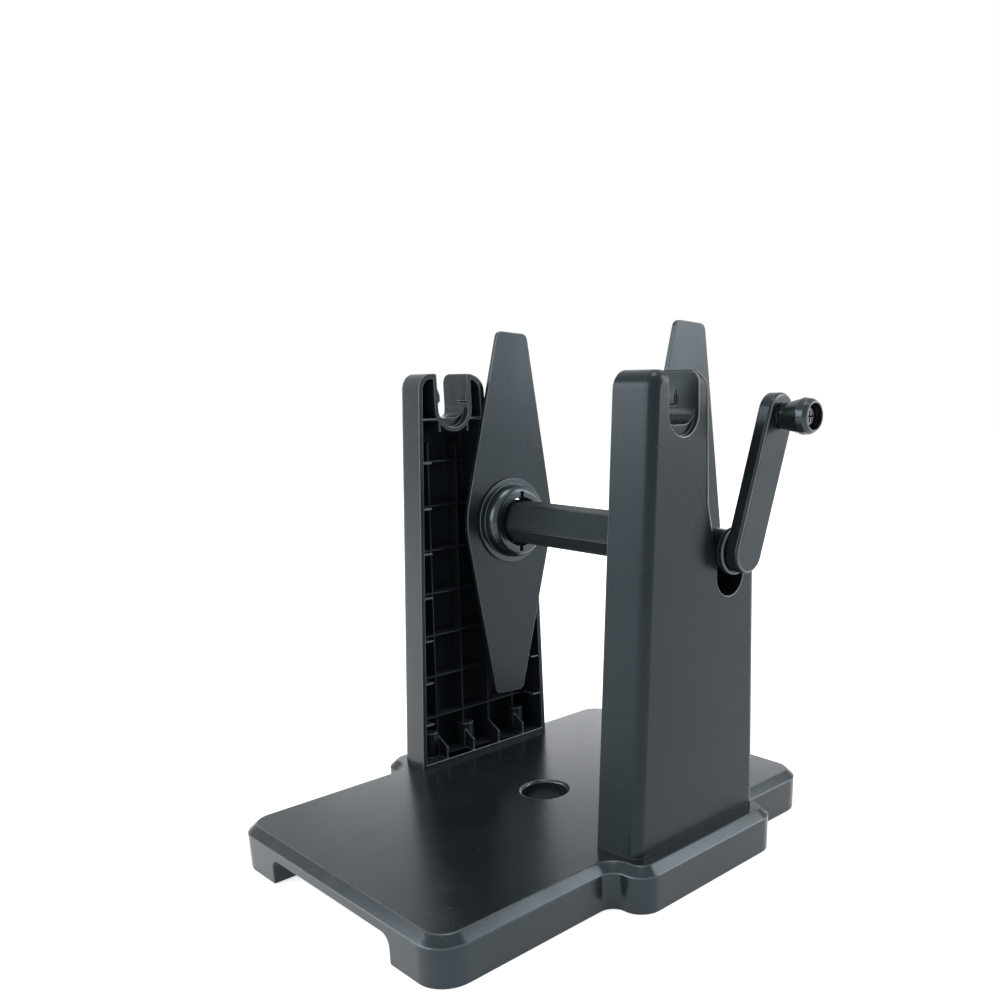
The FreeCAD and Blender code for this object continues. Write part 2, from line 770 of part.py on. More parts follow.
def flange_plate():
    """Flange plate in the left one's pose, with its middle at X = 0."""
    half = flange_thickness / 2
    plate = turned(prism(flange_corners(), on_yz, -half, half), spindle_turn)
    hole = rod_along_x(hub_screw_radius + hub_screw_gap, -half, half, axis_y, axis_z + hub_screw_circle)
    seat = hub_screw_head(hub_screw_gap)
    return clean(plate.cut([hexagon_prism(flange_bore_gap, -half, half)] + around_hub(hole)
                           + around_hub(seat)))


def core_hub():
    """Hub that centres a roll's core: a base ring and a cup with a rounded edge and two keyways."""
    foot = flange_thickness / 2
    ring_top = foot + hub_ring_thickness
    face = foot + hub_height
    rise = face - hub_edge
    outline = [(foot, hub_ring_radius), (ring_top, hub_ring_radius), (ring_top, hub_radius)]
    for step in range(7):
        angle = math.radians(90 * step / 6)
        outline.append((rise + hub_edge * math.sin(angle), hub_radius - hub_edge * (1 - math.cos(angle))))
    inside = face - hub_wall
    outline += [(face, hub_mouth_radius), (inside, hub_mouth_radius),
                (inside, hub_radius - hub_wall), (foot, hub_radius - hub_wall)]
    cup = revolved(outline, spindle_start)
    z = axis_z + hub_screw_circle
    boss = rod_along_x(hub_boss_radius, foot, face - hub_wall / 2, axis_y, z)
    hole = rod_along_x(hub_screw_radius + hub_screw_gap, foot, hub_screw_length - foot, axis_y, z)
    reach = hub_mouth_radius + key_depth
    keys = box(Vector(inside - hub_wall, axis_y - key_width / 2, axis_z - reach),
               Vector(face, axis_y + key_width / 2, axis_z + reach))
    return clean(cup.multiFuse(around_hub(boss)).cut(around_hub(hole) + [turned(keys, spindle_turn)]))


def grip_ring():
    """Soft ring inside the hub that grips the sleeve's corners."""
    low = flange_thickness / 2
    return spindle_ring(grip_radius, grip_bore_radius, low, low + grip_width)


def hub_screws():
    """Countersunk screws from the back of the flange plate into the hub."""
    back = -flange_thickness / 2
    shank = rod_along_x(hub_screw_radius, back, back + hub_screw_length, axis_y, axis_z + hub_screw_circle)
    return Part.makeCompound(around_hub(clean(hub_screw_head(0).fuse(shank))))


def hub_screw_head(gap):
    back = -flange_thickness / 2
    start = Vector(back, axis_y, axis_z + hub_screw_circle)
    return Part.makeCone(hub_screw_head_radius + gap, hub_screw_radius + gap,
                         hub_screw_head_height, start, along_x)


def left_flange_part(shape):
    copy = shape.copy()
    copy.translate(along_x * flange_left_x)
    return copy


def right_flange_part(shape):
    copy = mirrored(shape)
    copy.translate(along_x * flange_right_x)
    return copy


# ---- crank ---------------------------------------------------------------------------------------
def crank_arm():
    """Flat arm with round ends, a flatted socket for the rod and a hole for the knob's screw."""
    half = arm_half_width
    top = axis_z + knob_reach + arm_tip_offset + half
    corners = [(axis_y - half, axis_z - half, half), (axis_y + half, axis_z - half, half),
               (axis_y + half, top, half), (axis_y - half, top, half)]
    bar = prism(corners, on_yz, arm_x, arm_x + arm_thickness)
    rims = round_edges(bar)
    bar = bar.makeFillet(arm_edge, [edge for edge in rims if edge.BoundBox.XMin > arm_x + arm_edge])
    rims = [edge for edge in round_edges(bar) if edge.BoundBox.XMin < arm_x + arm_back_edge]
    arm = turned(bar.makeFillet(arm_back_edge, rims), arm_lean)
    socket = spindle_disc(rod_radius + sleeve_bore_gap, arm_x, arm_x + rod_socket_depth)
    key = box(Vector(arm_x, axis_y - rod_radius, axis_z - 2 * rod_radius),
              Vector(arm_x + rod_socket_depth, axis_y + rod_radius, axis_z + rod_flat + sleeve_bore_gap))
    hole = rod_along_x(pivot_radius + pivot_thread_gap, arm_x, arm_x + arm_thickness,
                       knob_centre.y, knob_centre.z)
    return clean(arm.cut([turned(socket.common(key), spindle_turn), hole]))


def knob_grip():
    """Turned knob: a slim neck that swells to a crest and closes in to a deeply recessed end."""
    start, end = knob_start_x, knob_start_x + knob_length
    crest = knob_point(start + knob_crest_length, knob_crest_radius)
    recess = end - knob_recess_depth
    bore = pivot_radius + pivot_gap
    flank = Part.makePolygon([knob_point(start, knob_neck_radius),
                              knob_point(start + knob_neck_length, knob_waist_radius), crest])
    shoulder = Part.Arc(crest, knob_point(start + knob_shoulder_length, knob_shoulder_radius),
                        knob_point(end, knob_end_radius))
    inside = [knob_point(end, knob_end_radius), knob_point(end, knob_recess_radius),
              knob_point(recess, knob_recess_radius), knob_point(recess, bore),
              knob_point(start, bore), knob_point(start, knob_neck_radius)]
    outline = Part.Wire(flank.Edges + [shoulder.toShape()] + Part.makePolygon(inside).Edges)
    return Part.Face(outline).revolve(knob_centre, along_x, 360)


def knob_point(x, radius):
    return Vector(x, knob_centre.y, knob_centre.z + radius)


def knob_disc(radius, low, high):
    return rod_along_x(radius, low, high, knob_centre.y, knob_centre.z)


def knob_washer():
    low = arm_x + arm_thickness
    return knob_disc(knob_washer_radius, low, low + knob_washer_thickness).cut(
        knob_disc(pivot_radius + pivot_thread_gap, low, low + knob_washer_thickness))


def knob_screw():
    """Shoulder screw through the knob into the arm, with a crossed recess in its head."""
    seat = knob_start_x + knob_length - knob_recess_depth + knob_gap
    top = seat + pivot_head_height
    shank = knob_disc(pivot_radius, arm_x, seat)
    head = knob_disc(pivot_head_radius, seat, top)
    head = head.makeFillet(pivot_head_edge, [edge for edge in round_edges(head) if edge.BoundBox.XMin > seat + 0.1])
    slots = []
    for width, height in ((pivot_cross_width, pivot_radius * 2), (pivot_radius * 2, pivot_cross_width)):
        slots.append(box(Vector(top - pivot_cross_depth, knob_centre.y - width / 2, knob_centre.z - height / 2),
                         Vector(top, knob_centre.y + width / 2, knob_centre.z + height / 2)))
    return clean(shank.fuse(head).cut(slots))


# ---- all pieces ----------------------------------------------------------------------------------
def make_parts():
    right_upright = upright()
    right_bush = bearing_bush()
    plate, hub, ring, screws = flange_plate(), core_hub(), grip_ring(), hub_screws()
    return {
        "base_plate": base_plate(),
        "base_pads": base_pads(),
        "upright_left": mirrored(right_upright),
        "upright_right": right_upright,
        "upright_screws_left": upright_screws(-1),
        "upright_screws_right": upright_screws(1),
        "bearing_bush_left": mirrored(right_bush),
        "bearing_bush_right": right_bush,
        "hex_sleeve": hex_sleeve(),
        "core_rod": core_rod(),
        "sleeve_pin": cross_pin(0, 0),
        "end_collar": end_collar(),
        "collar_grub_screw": grub_screw(grub_place(), 0),
        "flange_plate_left": left_flange_part(plate),
        "flange_plate_right": right_flange_part(plate),
        "core_hub_left": left_flange_part(hub),
        "core_hub_right": right_flange_part(hub),
        "grip_ring_left": left_flange_part(ring),
        "grip_ring_right": right_flange_part(ring),
        "hub_screws_left": left_flange_part(screws),
        "hub_screws_right": right_flange_part(screws),
        "crank_arm": crank_arm(),
        "knob_grip": knob_grip(),
        "knob_washer": knob_washer(),
        "knob_screw": knob_screw(),
    }


def main():
    os.makedirs("parts", exist_ok=True)
    for name, shape in make_parts().items():
        shape.translate(frame_shift)
        shape.exportStep("parts/" + name + ".step")
        print(name, "solids", len(shape.Solids), "valid", shape.isValid(), "volume", round(shape.Volume, 1))


main()
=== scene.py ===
"""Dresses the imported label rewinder: moulded plastic, turned knob, studio floor, light and camera.

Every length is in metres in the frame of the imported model: X along the spindle towards the crank,
Y from the front of the base to its rear, Z up from the bench.
"""
import json
import math

import bmesh
import bpy
from bpy.props import FloatProperty, FloatVectorProperty, PointerProperty
from mathutils import Euler, Matrix, Vector
from mathutils.bvhtree import BVHTree


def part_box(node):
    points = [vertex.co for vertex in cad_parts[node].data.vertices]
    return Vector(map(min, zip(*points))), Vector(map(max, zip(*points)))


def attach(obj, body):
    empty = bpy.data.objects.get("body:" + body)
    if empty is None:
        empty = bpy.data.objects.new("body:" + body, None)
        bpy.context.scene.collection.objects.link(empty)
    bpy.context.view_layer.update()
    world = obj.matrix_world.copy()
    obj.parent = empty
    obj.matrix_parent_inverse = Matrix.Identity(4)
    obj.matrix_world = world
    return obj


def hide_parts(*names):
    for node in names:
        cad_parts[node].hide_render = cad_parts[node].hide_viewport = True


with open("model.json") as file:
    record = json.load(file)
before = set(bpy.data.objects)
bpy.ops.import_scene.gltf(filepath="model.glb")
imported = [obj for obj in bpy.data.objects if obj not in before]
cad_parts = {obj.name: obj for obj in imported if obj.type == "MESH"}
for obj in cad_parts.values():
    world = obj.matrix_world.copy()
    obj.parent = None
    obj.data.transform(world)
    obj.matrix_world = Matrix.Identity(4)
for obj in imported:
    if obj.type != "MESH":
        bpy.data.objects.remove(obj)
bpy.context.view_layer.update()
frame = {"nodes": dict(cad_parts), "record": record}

bl_info = {
    "name": "Label rewinder dressing",
    "version": (1, 0, 0),
    "blender": (4, 5, 0),
    "location": "3D View > Sidebar > Rewinder",
    "description": "Gives a hand cranked label rewinder its moulded finishes, studio and camera",
    "category": "Object",
}

BODIES = frame["record"]["behaviour"]["bodies"]

# ---- which node gets which finish ----------------------------------------------------------------
UPRIGHTS = ("upright_left", "upright_right")
FLANGE_PLATES = ("flange_plate_left", "flange_plate_right")
CORE_HUBS = ("core_hub_left", "core_hub_right")
BUSHES = ("bearing_bush_left", "bearing_bush_right", "end_collar")
STEEL_NODES = ("core_rod", "sleeve_pin", "knob_washer")
ZINC_SCREWS = ("upright_screws_left", "upright_screws_right", "hub_screws_left",
               "hub_screws_right", "collar_grub_screw")
RUBBER_NODES = ("base_pads", "grip_ring_left", "grip_ring_right")

# Places of the other finishes among a piece's materials; the first is its skin
EDGE, HOLLOW, LIP = 1, 2, 3

# ---- limits for the mesh work --------------------------------------------------------------------
SAME_PLACE = 0.000005              # corners closer than this are one corner
FLAT_ANGLE = math.radians(0.6)     # faces that meet at less are one face
MOULD_SHARP = math.radians(32.0)   # edges sharper than this get a mould's radius
SLEEVE_SHARP = math.radians(40.0)  # the same limit for the sleeve
RAY_START = 0.0001                 # how far off its own face a ray starts

# ---- uprights: depths are shares of the width, from the open side to the outer face --------------
LOOKS_IN = -0.9     # a face looks at the spindle if less than this of its normal points outward
RIM_DEPTH = 0.7     # faces nearer than this that look at the spindle are rims of ribs and walls
HIGHLIGHT_DEPTH = 0.4  # edges nearer than this to the open side keep the painted edge highlight
LIP_DEPTH = 0.85    # open edges further than this are the outer lips of the slots

# ---- uprights: where along Y the drafted walls start and end -------------------------------------
FRONT_LEAN = 0.066                  # how far the front edge leans back, per metre of height
FRONT_WALL_END = 0.0                # just in front of the upper slot
UPPER_REAR_WALL = (0.0195, 0.0295)  # behind the upper slot, and the rear edge above the shelf
LOWER_REAR_WALL = (0.0515, 0.062)   # behind the lower slot, and the rear edge below the shelf
SHELF_HEIGHT = 0.1536
SHELF_BLEND = 0.02                  # height above the shelf over which the flare comes in

# ---- hubs and sleeve -----------------------------------------------------------------------------
HUB_FACE_SLACK = 0.00005  # corners this far inside the rounded edge still belong to it
HUB_ARC_SLACK = 0.0001    # and so do corners this far off its arc
PAD_SHOULDER = 0.0006     # width of the ledge beside a wide face of the sleeve
PAD_SLANT = 0.0001        # how far the side of that face slants
SLEEVE_ROUNDING = 0.0002

# ---- knob and arm: places are shares of the knob's length from the arm ---------------------------
KNOB_WAIST_AT = 0.164
KNOB_CREST_AT = 0.69
KNOB_SHOULDER_AT = 0.88
KNOB_SHOULDER = 0.94           # radius at the shoulder, as a share of the crest's
KNOB_RECESS_DEPTH = 0.328      # as a share of the knob's length
KNOB_RECESS_DRAFT = 0.0009     # how much narrower the recess is at its floor
KNOB_BORE = 0.00238
KNOB_ROUNDING = 0.0006
KNOB_RIM_DEPTH = 0.05          # the rim with the painted highlight is within this share of the length from the end
KNOB_RIM_LOOK = 0.6            # and more than this of its normals points along +X
ARM_EDGE_LOOK = (0.80, 0.975)  # how much of the normals points along +X in the arm's strip with the painted highlight

# ---- studio --------------------------------------------------------------------------------------
LAMP_TARGET = (0.0, 0.0, 0.1)
LAMPS = (  # name, place, width and height, property that holds the power
    ("key_lamp", (-0.62, -1.54, 0.74), (1.9, 1.05), "key_power"),
    ("side_lamp", (1.05, 1.25, 0.86), (0.7, 1.5), "side_power"),
    ("back_lamp", (-1.2, 1.15, 0.42), (1.2, 0.45), "back_power"),
    ("top_lamp", (0.1, -0.05, 1.7), (0.7, 0.7), "top_power"),
)
FLOOR_TONES = ((0.86, 0.86, 0.86), (0.88, 0.88, 0.88))
FLOOR_GLOW = 0.7  # light of its own that the floor shows to the camera
SKY_COLOUR = (0.96, 0.98, 1.0, 1)
WHITE = (1, 1, 1, 1)
DUST = (0.16, 0.165, 0.17)
NOISE_MIDDLE = (0.3, 0.7)  # most values of a noise lie between these


# ---- properties ----------------------------------------------------------------------------------
class RewinderSizes(bpy.types.PropertyGroup):
    """Sizes of the finished forms"""
    edge_softness: FloatProperty(
        name="Edge softness", description="Radius that the mould leaves on sharp edges",
        default=0.00045, min=0.0, max=0.002, unit="LENGTH", precision=5)
    rib_softness: FloatProperty(
        name="Rib softness", description="Radius along the thin ribs and rims of the uprights",
        default=0.00035, min=0.0, max=0.001, unit="LENGTH", precision=5)
    hub_radius: FloatProperty(
        name="Hub radius", description="Spindle axis to the side of a hub",
        default=0.0193, min=0.015, max=0.025, unit="LENGTH", precision=4)
    hub_edge: FloatProperty(
        name="Hub edge", description="Radius of a hub's rounded edge in the packed model",
        default=0.0035, min=0.001, max=0.006, unit="LENGTH", precision=4)
    hub_round_in: FloatProperty(
        name="Hub rounding in", description="How many times further in the finished edge goes",
        default=1.2, min=1.0, max=1.3)
    hub_round_back: FloatProperty(
        name="Hub rounding back", description="How many times further back the finished edge goes",
        default=1.6, min=1.0, max=1.9)
    front_draft: FloatProperty(
        name="Front draft",
        description="How far the uprights' front wall slants back to the outer face",
        default=0.0024, min=0.0, max=0.006, unit="LENGTH", precision=4)
    rear_draft: FloatProperty(
        name="Rear draft", description="How far the rear wall flares at the open side, at the top",
        default=0.0021, min=0.0, max=0.006, unit="LENGTH", precision=4)
    sleeve_wide: FloatProperty(
        name="Sleeve pads", description="Spindle axis to the sleeve's three wide, proud faces",
        default=0.0096, min=0.006, max=0.0125, unit="LENGTH", precision=4)
    sleeve_narrow: FloatProperty(
        name="Sleeve narrow faces", description="Spindle axis to the sleeve's three narrow faces",
        default=0.01036, min=0.006, max=0.0125, unit="LENGTH", precision=5)
    sleeve_step: FloatProperty(
        name="Sleeve step", description="How far the wide faces stand proud",
        default=0.0010, min=0.0, max=0.002, unit="LENGTH", precision=4)
    sleeve_turn: FloatProperty(
        name="Sleeve turn", description="How far the foremost wide face looks up",
        subtype="ANGLE", default=math.radians(24.0))
    knob_neck: FloatProperty(
        name="Knob neck", description="Radius of the knob's neck at the crank arm",
        default=0.0055, min=0.003, max=0.01, unit="LENGTH", precision=4)
    knob_waist: FloatProperty(
        name="Knob waist", description="Radius of the neck where the knob starts to swell",
        default=0.0058, min=0.003, max=0.01, unit="LENGTH", precision=4)
    knob_rim: FloatProperty(
        name="Knob rim", description="Outer radius of the knob's end",
        default=0.0061, min=0.003, max=0.01, unit="LENGTH", precision=4)
    knob_recess: FloatProperty(
        name="Knob recess", description="Radius of the recess in the knob's end",
        default=0.0055, min=0.002, max=0.01, unit="LENGTH", precision=4)
    grain_size: FloatProperty(
        name="Grain size", description="Size of the moulded surface grain",
        default=0.0007, min=0.0001, max=0.01, unit="LENGTH", precision=5)


class RewinderColours(bpy.types.PropertyGroup):
    """Colours of plastic, steel and rubber"""
    moulding: FloatVectorProperty(
        name="Moulding", description="Colour of the base, uprights, flanges and crank",
        subtype="COLOR", size=3, min=0.0, max=1.0, default=(0.0085, 0.0120, 0.0138))
    # Painted highlight: the light that rounded edges catch, given as their colour
    painted_edge_highlight: FloatVectorProperty(
        name="Edge highlight", description="Painted highlight colour of the rounded edges",
        subtype="COLOR", size=3, min=0.0, max=1.0, default=(0.150, 0.165, 0.172))
    bar: FloatVectorProperty(
        name="Bar", description="Colour of the bushes, collar, hubs and knob",
        subtype="COLOR", size=3, min=0.0, max=1.0, default=(0.0075, 0.0105, 0.0120))
    sleeve: FloatVectorProperty(
        name="Sleeve", description="Duller black of the hexagonal sleeve",
        subtype="COLOR", size=3, min=0.0, max=1.0, default=(0.0135, 0.0175, 0.0195))
    gloss_tint: FloatVectorProperty(
        name="Gloss tint", description="Tint of the plastic's reflections",
        subtype="COLOR", size=3, min=0.0, max=1.0, default=(0.72, 0.88, 1.0))
    steel: FloatVectorProperty(
        name="Steel", description="Colour of the rod and pins",
        subtype="COLOR", size=3, min=0.0, max=1.0, default=(0.56, 0.57, 0.58))
    black_steel: FloatVectorProperty(
        name="Black steel", description="Colour of the blackened screw in the knob",
        subtype="COLOR", size=3, min=0.0, max=1.0, default=(0.13, 0.135, 0.14))
    rubber: FloatVectorProperty(
        name="Rubber", description="Colour of the pads and grip rings",
        subtype="COLOR", size=3, min=0.0, max=1.0, default=(0.018, 0.018, 0.018))


class RewinderStage(bpy.types.PropertyGroup):
    """Camera, lamps and surroundings"""
    camera_place: FloatVectorProperty(
        name="Camera place", description="Where the camera stands", subtype="TRANSLATION",
        unit="LENGTH", size=3, default=(0.33680, -0.29505, 0.21915))
    camera_heading: FloatProperty(
        name="Camera heading", description="Turn of the view to the left of +Y",
        subtype="ANGLE", default=math.radians(43.819))
    camera_dip: FloatProperty(
        name="Camera dip", description="How far the view points down",
        subtype="ANGLE", default=math.radians(16.853))
    camera_roll: FloatProperty(
        name="Camera roll", description="Roll of the camera",
        subtype="ANGLE", default=math.radians(-0.468))
    lens: FloatProperty(
        name="Lens", description="Focal length on a 36 mm sensor",
        default=34.889, min=5.0, max=300.0, subtype="DISTANCE_CAMERA", unit="CAMERA")
    shift: FloatVectorProperty(
        name="Shift", description="Shift of the picture across and up, as a share of its width",
        size=2, default=(-0.12439, 0.17604))
    floor_size: FloatProperty(
        name="Floor size", description="Side of the square floor",
        default=8.0, min=1.0, unit="LENGTH")
    world_strength: FloatProperty(
        name="World strength", description="Light from the pale surroundings",
        default=0.38, min=0.0)
    key_power: FloatProperty(
        name="Key power", description="Power of the wide soft lamp at the front left",
        default=31.0, min=0.0, unit="POWER")
    side_power: FloatProperty(
        name="Side power", description="Power of the tall soft lamp behind the right side",
        default=18.0, min=0.0, unit="POWER")
    back_power: FloatProperty(
        name="Back power", description="Power of the low lamp behind the left side",
        default=3.0, min=0.0, unit="POWER")
    top_power: FloatProperty(
        name="Top power", description="Power of the lamp overhead",
        default=8.5, min=0.0, unit="POWER")


def sizes():
    return bpy.context.scene.rewinder_sizes


def colours():
    return bpy.context.scene.rewinder_colours


# ---- shader nodes --------------------------------------------------------------------------------
def new_material(name):
    """Empty node material with a Principled shader; returns it with its tree and shader."""
    material = bpy.data.materials.new(name)
    material.use_nodes = True
    tree = material.node_tree
    tree.nodes.clear()
    output = tree.nodes.new("ShaderNodeOutputMaterial")
    shader = tree.nodes.new("ShaderNodeBsdfPrincipled")
    tree.links.new(shader.outputs["BSDF"], output.inputs["Surface"])
    return material, tree, shader


def object_noise(tree, scale, detail=3.0, roughness=0.55, stretch=(1, 1, 1)):
    """Noise on Object coordinates; scale is in features per metre."""
    coordinates = tree.nodes.new("ShaderNodeTexCoord")
    mapping = tree.nodes.new("ShaderNodeMapping")
    mapping.inputs["Scale"].default_value = stretch
    noise = tree.nodes.new("ShaderNodeTexNoise")
    noise.inputs["Scale"].default_value = scale
    noise.inputs["Detail"].default_value = detail
    noise.inputs["Roughness"].default_value = roughness
    tree.links.new(coordinates.outputs["Object"], mapping.inputs["Vector"])
    tree.links.new(mapping.outputs["Vector"], noise.inputs["Vector"])
    return noise.outputs["Fac"]


def remap(tree, value, given, wanted):
    """Stretch the given range of a value to the wanted one."""
    node = tree.nodes.new("ShaderNodeMapRange")
    for socket, number in zip(("From Min", "From Max", "To Min", "To Max"), (*given, *wanted)):
        node.inputs[socket].default_value = number
    tree.links.new(value, node.inputs["Value"])
    return node.outputs["Result"]


def colour_between(tree, value, first, second):
    """Colour that goes from first to second over the middle of a noise's range."""
    ramp = tree.nodes.new("ShaderNodeValToRGB")
    for stop, position, colour in zip(ramp.color_ramp.elements, NOISE_MIDDLE, (first, second)):
        stop.position = position
        stop.color = (*colour, 1)
    tree.links.new(value, ramp.inputs["Fac"])
    return ramp.outputs["Color"]


def mixed(tree, amount, first, second):
    """Colour output first, turning to the plain colour second as the amount rises."""
    node = tree.nodes.new("ShaderNodeMix")
    node.data_type = "RGBA"
    tree.links.new(amount, node.inputs["Factor"])
    tree.links.new(first, node.inputs["A"])
    node.inputs["B"].default_value = (*second, 1)
    return node.outputs["Result"]


def bump(tree, height, distance, strength, after=None):
    """Relief of a given depth in metres, on top of an earlier one if there is one."""
    node = tree.nodes.new("ShaderNodeBump")
    node.inputs["Distance"].default_value = distance
    node.inputs["Strength"].default_value = strength
    tree.links.new(height, node.inputs["Height"])
    if after is not None:
        tree.links.new(after, node.inputs["Normal"])
    return node.outputs["Normal"]


def scaled(colour, factor):
    return [channel * factor for channel in colour]


# ---- materials -----------------------------------------------------------------------------------
def moulded_plastic(name, colour, rough, spread, waviness, gloss=1.40):
    """Injection-moulded plastic: eroded grain, slow waviness, handling marks and specks of dust.

    Its roughness varies by spread either way, and gloss is its refractive index.
    """
    material, tree, shader = new_material(name)
    cloud = object_noise(tree, scale=22.0, detail=4.0)
    body = colour_between(tree, cloud, scaled(colour, 0.85), scaled(colour, 1.2))
    dust = object_noise(tree, scale=900.0, detail=2.0, roughness=0.5)
    specks = remap(tree, dust, (0.735, 0.76), (0.0, 0.5))
    tree.links.new(mixed(tree, specks, body, DUST), shader.inputs["Base Color"])
    marks = object_noise(tree, scale=60.0, detail=6.0, roughness=0.65, stretch=(1, 1, 0.35))
    tree.links.new(remap(tree, marks, (0.3, 0.75), (rough - spread, rough + spread)),
                   shader.inputs["Roughness"])
    waves = object_noise(tree, scale=30.0, detail=1.0)
    skin = bump(tree, waves, distance=0.0004, strength=waviness)
    grain = object_noise(tree, scale=1.0 / sizes().grain_size, detail=2.0, roughness=0.6)
    tree.links.new(bump(tree, grain, distance=0.00005, strength=0.3, after=skin),
                   shader.inputs["Normal"])
    shader.inputs["IOR"].default_value = gloss
    shader.inputs["Specular Tint"].default_value = (*colours().gloss_tint, 1)
    return material


def painted_edge_highlight(name, rough, brighter=1.0):
    """Edge with a painted highlight: a lighter colour than the skin beside it stands in for the
    light its radius catches, and it is glossier too.
    """
    material, tree, shader = new_material(name)
    highlight_mottle = object_noise(tree, scale=90.0, detail=4.0, roughness=0.6)
    # The lighter colour is a painted highlight, mottled by noise
    colour = scaled(colours().painted_edge_highlight, brighter)
    tree.links.new(colour_between(tree, highlight_mottle, scaled(colour, 0.55), colour),
                   shader.inputs["Base Color"])
    tree.links.new(remap(tree, highlight_mottle, NOISE_MIDDLE, (rough - 0.04, rough + 0.06)),
                   shader.inputs["Roughness"])
    shader.inputs["IOR"].default_value = 1.55
    shader.inputs["Specular Tint"].default_value = (*colours().gloss_tint, 1)
    return material


def drawn_steel(name, colour, rough):
    """Drawn steel with fine lines along X."""
    material, tree, shader = new_material(name)
    lines = object_noise(tree, scale=1500.0, roughness=0.6, stretch=(0.02, 1, 1))
    tree.links.new(colour_between(tree, lines, scaled(colour, 0.85), colour),
                   shader.inputs["Base Color"])
    tree.links.new(remap(tree, lines, (0.2, 0.8), (rough - 0.06, rough + 0.08)),
                   shader.inputs["Roughness"])
    tree.links.new(bump(tree, lines, distance=0.00003, strength=0.2), shader.inputs["Normal"])
    shader.inputs["Metallic"].default_value = 1.0
    return material


def soft_rubber(name, colour):
    """Matt rubber with a dusty bloom."""
    material, tree, shader = new_material(name)
    bloom = object_noise(tree, scale=300.0, detail=5.0)
    tree.links.new(colour_between(tree, bloom, colour, scaled(colour, 1.6)),
                   shader.inputs["Base Color"])
    tree.links.new(remap(tree, bloom, NOISE_MIDDLE, (0.7, 0.88)), shader.inputs["Roughness"])
    grit = object_noise(tree, scale=1800.0)
    tree.links.new(bump(tree, grit, distance=0.00008, strength=0.4), shader.inputs["Normal"])
    return material


def give_materials(piece, *materials):
    """Give a piece its materials in order, and keep which face has which."""
    order = [face.material_index for face in piece.data.polygons]
    piece.data.materials.clear()
    for material in materials:
        piece.data.materials.append(material)
    if any(order):
        piece.data.polygons.foreach_set("material_index", order)


# ---- pieces and their places ---------------------------------------------------------------------
def body_of(node):
    return next(name for name, members in BODIES.items() if node in members)


def stand_in_for(piece, node):
    """Let a finished piece stand for a CAD node: hide the node and put the piece on its body."""
    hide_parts(node)
    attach(piece, body_of(node))


def new_piece(name, data):
    piece = bpy.data.objects.new(name, data)
    bpy.context.scene.collection.objects.link(piece)
    return piece


def mesh_data(name, mesh):
    """Turn finished mesh work into a mesh of its own."""
    data = bpy.data.meshes.new(name)
    mesh.to_mesh(data)
    mesh.free()
    return data


def share(value, start, end):
    """How far a value has gone from start to end, between 0 and 1."""
    return min(max((value - start) / (end - start), 0.0), 1.0)


# ---- mesh work -----------------------------------------------------------------------------------
def sharp_edges(mesh, limit):
    return [edge for edge in mesh.edges
            if len(edge.link_faces) == 2 and edge.calc_face_angle(0.0) > limit]


def round_off(mesh, edges, radius):
    """Round edges, and give the new faces the edge material, which paints a highlight on them."""
    made = bmesh.ops.bevel(mesh, geom=edges, offset=radius, offset_type="OFFSET", segments=2,
                           profile=0.5, affect="EDGES", clamp_overlap=False, material=-1,
                           loop_slide=True)
    for face in made["faces"]:
        face.material_index = EDGE


def smooth_faces(mesh):
    for face in mesh.faces:
        face.smooth = True


def even_shading(piece):
    """Shade large faces flat, so that only the radii between them catch the light."""
    weighted = piece.modifiers.new("even_normals", "WEIGHTED_NORMAL")
    weighted.keep_sharp = False
    weighted.weight = 80


def softened_copy(node, radius, shaped=None):
    """Copy of a CAD node, shaped first if need be, with a mould's small radius on sharp edges."""
    piece = new_piece(node + "_finish", frame["nodes"][node].data.copy())
    mesh = bmesh.new()
    mesh.from_mesh(piece.data)
    bmesh.ops.remove_doubles(mesh, verts=mesh.verts, dist=SAME_PLACE)
    bmesh.ops.dissolve_limit(mesh, angle_limit=FLAT_ANGLE, verts=mesh.verts, edges=mesh.edges)
    for face in mesh.faces:
        face.material_index = 0
    if shaped is not None:
        shaped(mesh, node)
    round_off(mesh, sharp_edges(mesh, MOULD_SHARP), radius)
    smooth_faces(mesh)
    mesh.to_mesh(piece.data)
    mesh.free()
    even_shading(piece)
    stand_in_for(piece, node)
    return piece


def turned_piece(name, profile, centre, rim_radius):
    """Piece turned about a line along X through centre; profile holds its (x, radius) corners."""
    mesh = bmesh.new()
    corners = [mesh.verts.new((x, centre.y, centre.z + radius)) for x, radius in profile]
    for pair in zip(corners, corners[1:] + corners[:1]):
        mesh.edges.new(pair)
    bmesh.ops.bevel(mesh, geom=corners, offset=rim_radius, offset_type="OFFSET", segments=4,
                    profile=0.5, affect="VERTICES", clamp_overlap=True, material=-1)
    bmesh.ops.spin(mesh, geom=mesh.verts[:] + mesh.edges[:], cent=centre, axis=(1, 0, 0),
                   angle=math.tau, steps=96, use_merge=True)
    bmesh.ops.remove_doubles(mesh, verts=mesh.verts, dist=SAME_PLACE)
    bmesh.ops.recalc_face_normals(mesh, faces=mesh.faces)
    smooth_faces(mesh)
    piece = new_piece(name, mesh_data(name, mesh))
    even_shading(piece)
    return piece


# ---- base ----------------------------------------------------------------------------------------
class REWINDER_OT_base(bpy.types.Operator):
    """Finish the base as a satin moulding with soft edges"""
    bl_idname = "rewinder.base"
    bl_label = "Base"

    def execute(self, context):
        skin = moulded_plastic("base_moulding", colours().moulding, rough=0.23, spread=0.05,
                               waviness=0.06, gloss=1.46)
        # The base's rounded edges get a faint painted highlight: a lighter colour than the skin
        give_materials(softened_copy("base_plate", sizes().edge_softness), skin,
                       painted_edge_highlight("base_edges", rough=0.26, brighter=0.4))
        return {"FINISHED"}


